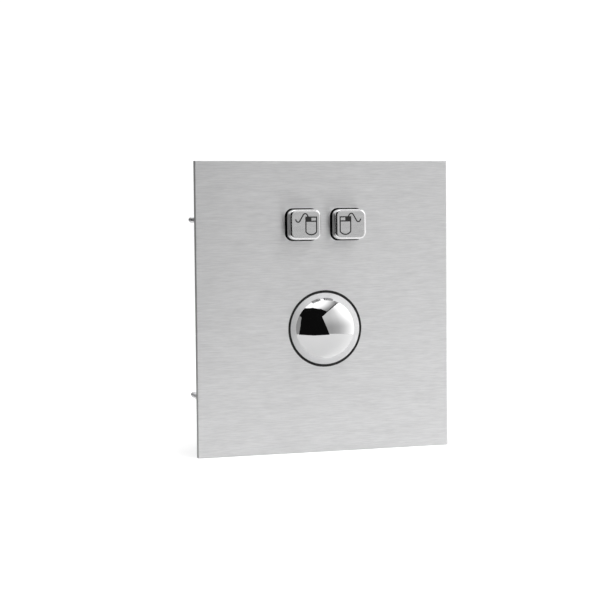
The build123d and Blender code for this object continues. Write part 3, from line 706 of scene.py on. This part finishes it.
CAMERA_AT = Vector((-0.2251, -0.6984, 0.0456))
CAMERA_YAW, CAMERA_PITCH, CAMERA_ROLL = math.radians(17.0), math.radians(3.3), math.radians(0.52)
CAMERA_LENS = 91.29
REFLECTED_R = 1.3
TABLE_R = 0.24
SEEN_WHITE = 1.08
# Past these depths a ray asks for what one metal part shows in another. The world's shader counts
# one bounce more than a card's.
CARD_DEPTH, WORLD_DEPTH = 1.5, 2.5


def make_camera():
    """The photo's view: from the left, a little above, and turned a little about its own axis."""
    data = bpy.data.cameras.new("camera")
    data.lens = CAMERA_LENS
    data.sensor_width = 36.0
    data.clip_start, data.clip_end = 0.01, 50.0
    camera = add_object("camera", data)
    yaw = Matrix.Rotation(-CAMERA_YAW, 4, "Z")
    pitch = Matrix.Rotation(math.pi / 2 - CAMERA_PITCH, 4, "X")
    roll = Matrix.Rotation(-CAMERA_ROLL, 4, "Z")
    camera.matrix_world = Matrix.Translation(CAMERA_AT) @ (yaw @ pitch) @ roll
    bpy.context.scene.camera = camera


def glow(name, strength):
    """A plain emitter for cards that only first reflections see. They are clear to later ones."""
    material = bpy.data.materials.new(name)
    material.use_nodes = True
    nodes = Nodes(material.node_tree)
    nodes.tree.nodes.remove(nodes.tree.nodes["Principled BSDF"])
    light = nodes.node("ShaderNodeEmission", {"Color": (strength, strength, strength * 1.01, 1)})
    later = nodes.maths("GREATER_THAN", nodes.path("Ray Depth"), CARD_DEPTH)
    nodes.either(later, light.outputs["Emission"], nodes.clear(), "Material Output")
    return material


def only_in_reflections(obj):
    """Hides a stage piece from everything but glossy rays."""
    obj.visible_camera = False
    obj.visible_diffuse = False
    obj.visible_shadow = False
    obj.visible_transmission = False


def studio_direction(azimuth, elevation):
    """A direction from the ball, in degrees. Azimuth 0 points to the camera, 90 to its right."""
    turn = math.radians(azimuth) - CAMERA_YAW
    rise = math.radians(elevation)
    level = math.cos(rise)
    return Vector((math.sin(turn) * level, -math.cos(turn) * level, math.sin(rise)))


def reflected_card(name, outline, strength):
    """A card outlined in azimuth and elevation, bent round the ball and laid on the floor."""
    mesh = bpy.data.meshes.new(name)
    shape = bmesh.new()
    shape.faces.new([shape.verts.new((azimuth, elevation, 0)) for azimuth, elevation in outline])
    shape.normal_update()
    bmesh.ops.triangulate(shape, faces=shape.faces[:])
    bmesh.ops.subdivide_edges(shape, edges=shape.edges[:], cuts=11, use_grid_fill=True)
    drop = FLOOR_Z + 1 * MM - BALL_CENTRE.z
    for vert in shape.verts:
        direction = studio_direction(vert.co.x, vert.co.y)
        reach = min(REFLECTED_R, drop / direction.z) if direction.z < 0 else REFLECTED_R
        vert.co = BALL_CENTRE + direction * reach
    shape.to_mesh(mesh)
    shape.free()
    card = add_object(name, mesh)
    mesh.materials.append(glow(name, strength))
    only_in_reflections(card)


def make_reflections():
    """The dark end of the studio behind the camera, and the seam of the right wall and ceiling.

    Outlines are (azimuth, elevation) in degrees, as studio_direction takes them.
    """
    dark_end = [(-66, -15), (-19, -18), (25, -16), (15, 10), (5, 36), (29, 50), (2, 60), (-42, 61),
                (-80, 50), (-101, 37), (-65, 27), (-62, 7)]
    reflected_card("studio_dark_end", dark_end, 0.006)
    seam = [(27, 49.5), (34, 52.3), (53, 56.5), (75, 58), (99, 55.7), (122, 48.8)]
    low_edge = [(azimuth, elevation - 1.2) for azimuth, elevation in seam]
    high_edge = [(azimuth, elevation + 1.2) for azimuth, elevation in reversed(seam)]
    reflected_card("studio_seam", low_edge + high_edge, 0.03)


def walls(world, place):
    """Grey by the dark end, white on the right, brighter higher up."""
    heading = world.node("ShaderNodeMapping", {"Vector": place, "Rotation": (0, 0, CAMERA_YAW)})
    axes = world.split(heading.outputs["Vector"])
    azimuth = world.maths("ARCTAN2", axes["X"], world.maths("MULTIPLY", axes["Y"], -1.0))
    ramp = world.node("ShaderNodeValToRGB", {"Fac": world.remap(azimuth, -math.pi, math.pi)})
    # Azimuth in degrees, and tone
    stops = [(-180, 0.80), (-130, 0.60), (-92, 0.54), (-60, 0.60), (32, 0.64), (54, 0.80),
             (72, 1.15), (92, 1.70), (106, 2.10), (124, 2.30), (150, 0.80)]
    elements = ramp.color_ramp.elements
    while len(elements) < len(stops):
        elements.new(0.5)
    for element, (angle, tone) in zip(elements, stops):
        element.position = (angle + 180) / 360
        element.color = (tone, tone, tone, 1)
    lift = world.remap(axes["Z"], 0.02, 0.66, 1.0, 1.75, ease="SMOOTHSTEP")
    return world.maths("MULTIPLY", ramp.outputs["Color"], lift)


def make_world():
    """White to the eye and for soft light. Polished metal sees a studio instead.

    The studio has walls and a grey ceiling, with a soft lamp to the left of overhead. What one
    metal part sees in another is lit from the upper right.
    """
    data = bpy.data.worlds.new("studio")
    bpy.context.scene.world = data
    data.use_nodes = True
    world = Nodes(data.node_tree)
    place = world.node("ShaderNodeTexCoord").outputs["Generated"]

    def round_spot(azimuth, elevation, outer, inner, start, end):
        """From start to end as a ray's angle from a direction falls from outer to inner degrees."""
        nearness = world.dot(place, studio_direction(azimuth, elevation))
        outer, inner = math.cos(math.radians(outer)), math.cos(math.radians(inner))
        return world.remap(nearness, outer, inner, start, end, ease="SMOOTHSTEP")

    ceiling = round_spot(-100, 76, 46, 10, 0.52, 2.60)
    above_seam = round_spot(-105, 49, 74, 72, 0.0, 1.0)
    first_hand = world.between(above_seam, walls(world, place), ceiling)
    second_hand = round_spot(90, 40, 114, 46, 1.2, 2.2)
    again = world.maths("GREATER_THAN", world.path("Ray Depth"), WORLD_DEPTH)
    seen = world.between(again, first_hand, second_hand)
    plain = world.tree.nodes["Background"]
    world.set(plain, Color=(1, 1, 1, 1), Strength=SEEN_WHITE)
    studio = world.node("ShaderNodeBackground", {"Strength": seen})
    backgrounds = plain.outputs["Background"], studio.outputs["Background"]
    world.either(world.path("Is Glossy Ray"), *backgrounds, "World Output")


def softbox(name, place, width, height, power):
    """An area light that faces the ball. Polished metal doesn't see it."""
    data = bpy.data.lights.new(name, "AREA")
    data.shape = "RECTANGLE"
    data.size, data.size_y = width, height
    data.energy = power
    light = add_object(name, data)
    light.visible_glossy = False
    light.location = place
    light.rotation_euler = (BALL_CENTRE - place).to_track_quat("-Z", "Y").to_euler()


def make_lights():
    """Two large softboxes: one overhead, one to the right of the camera."""
    softbox("overhead", Vector((-0.1, -0.5, 1.3)), width=1.4, height=1.0, power=6)
    softbox("right", Vector((1.3, -1.2, 0.5)), width=1.2, height=1.2, power=4.5)


def make_floor():
    """Pale paper. Polished metal sees it a little greyer, and only as far as TABLE_R."""
    mesh = bpy.data.meshes.new("floor")
    shape = bmesh.new()
    bmesh.ops.create_circle(shape, cap_ends=True, segments=96, radius=14.0)
    shape.to_mesh(mesh)
    shape.free()
    floor = add_object("floor", mesh)
    floor.location.z = FLOOR_Z
    paper = Material("floor_paper", (0.96, 0.96, 0.96), 0.9)
    colour = paper.blend(paper.noise(12), (0.95, 0.95, 0.95), (0.97, 0.97, 0.97))
    paper.finish(colour=colour, normal=paper.bump(paper.noise(600), 0.05 * MM))
    far = paper.node("ShaderNodeVectorMath", {"_0": paper.place}, operation="LENGTH")
    unseen = paper.remap(far.outputs["Value"], TABLE_R - 0.01, TABLE_R + 0.01, 0.22, 1)
    share = paper.maths("MULTIPLY", unseen, paper.path("Is Glossy Ray"))
    paper.either(share, paper.shader.outputs["BSDF"], paper.clear(), "Material Output")
    mesh.materials.append(paper.data)


MATERIALS = make_materials()
dress_cad_nodes(MATERIALS)
make_studs()
make_ribbon()
make_domes()
make_chip()
make_resistor_ends()
make_capacitor_trim()
make_traces()
make_solder_joints()
make_board_print()
make_connector_windows()
make_world()
make_lights()
make_floor()
make_reflections()
make_camera()

bpy.context.scene.view_settings.view_transform = "Standard"
